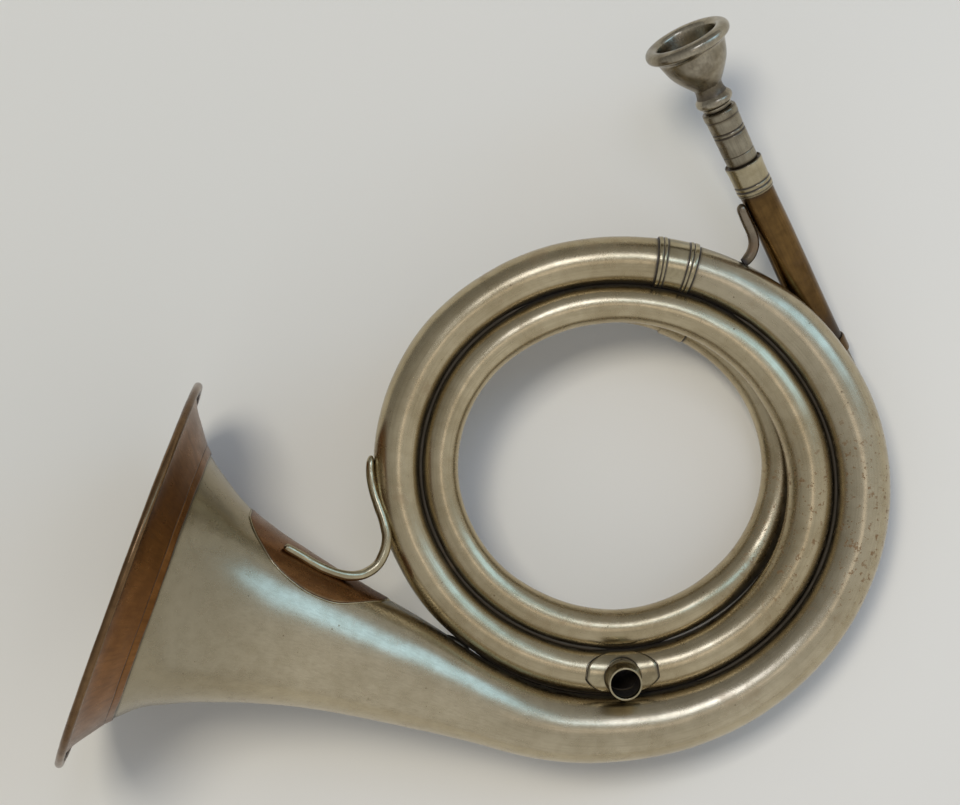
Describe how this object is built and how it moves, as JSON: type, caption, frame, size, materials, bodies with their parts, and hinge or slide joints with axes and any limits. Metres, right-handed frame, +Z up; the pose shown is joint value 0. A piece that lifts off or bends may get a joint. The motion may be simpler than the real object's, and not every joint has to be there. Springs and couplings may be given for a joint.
{
  "type": "coiled natural horn",
  "caption": "Valveless round brass horn: flat tube coil with a flared bell, straight mouthpipe, vent tube and a pull-out cup mouthpiece.",
  "frame": {"origin": "on the table under the centre of the coil; z = 0 is the table the horn lies on", "axes": "+Z up from the table, +X from the bell towards the free side of the coil, +Y towards the mouthpiece"},
  "size_m": [0.2415, 0.2153, 0.1152],
  "materials": {
    "nickel_silver": "worn polished nickel silver, brownish tarnish in the creases",
    "mouthpiece_silver": "dull silver plate, pitted and worn",
    "bit_silver": "dull grey silver plate",
    "brass": "streaky brown tarnished brass",
    "copper_brown": "brown copper-rich brass, satin",
    "solder": "grey soft solder, dull"
  },
  "bodies": {
    "horn": {"receiver_sleeve": "brass", "receiver_ferrule": "nickel_silver", "mouthpipe": "brass", "mouthpipe_stay": "nickel_silver", "mouthpipe_ferrule": "nickel_silver", "back_coil": "nickel_silver", "back_ferrule": "nickel_silver", "main_coil": "nickel_silver", "bell_ferrule": "nickel_silver", "vent_saddle": "nickel_silver", "vent_tube": "nickel_silver", "bell": "nickel_silver", "bell_garland": "copper_brown", "rim_wire": "copper_brown", "bell_patch": "copper_brown", "bell_stay": "nickel_silver", "turn_solder": "solder", "back_solder": "solder", "bell_solder": "solder"},
    "tuning_bit": {"tuning_bit": "bit_silver"},
    "mouthpiece": {"mouthpiece": "mouthpiece_silver"}
  },
  "joints": [
    {"name": "tuning_bit_slide", "type": "slide", "parent": "horn", "child": "tuning_bit", "axis": [-0.3932, 0.8291, 0.3976], "range_m": [0, 0.025]},
    {"name": "mouthpiece_slide", "type": "slide", "parent": "tuning_bit", "child": "mouthpiece", "axis": [-0.3932, 0.8291, 0.3976], "range_m": [0, 0.02]}
  ]
}
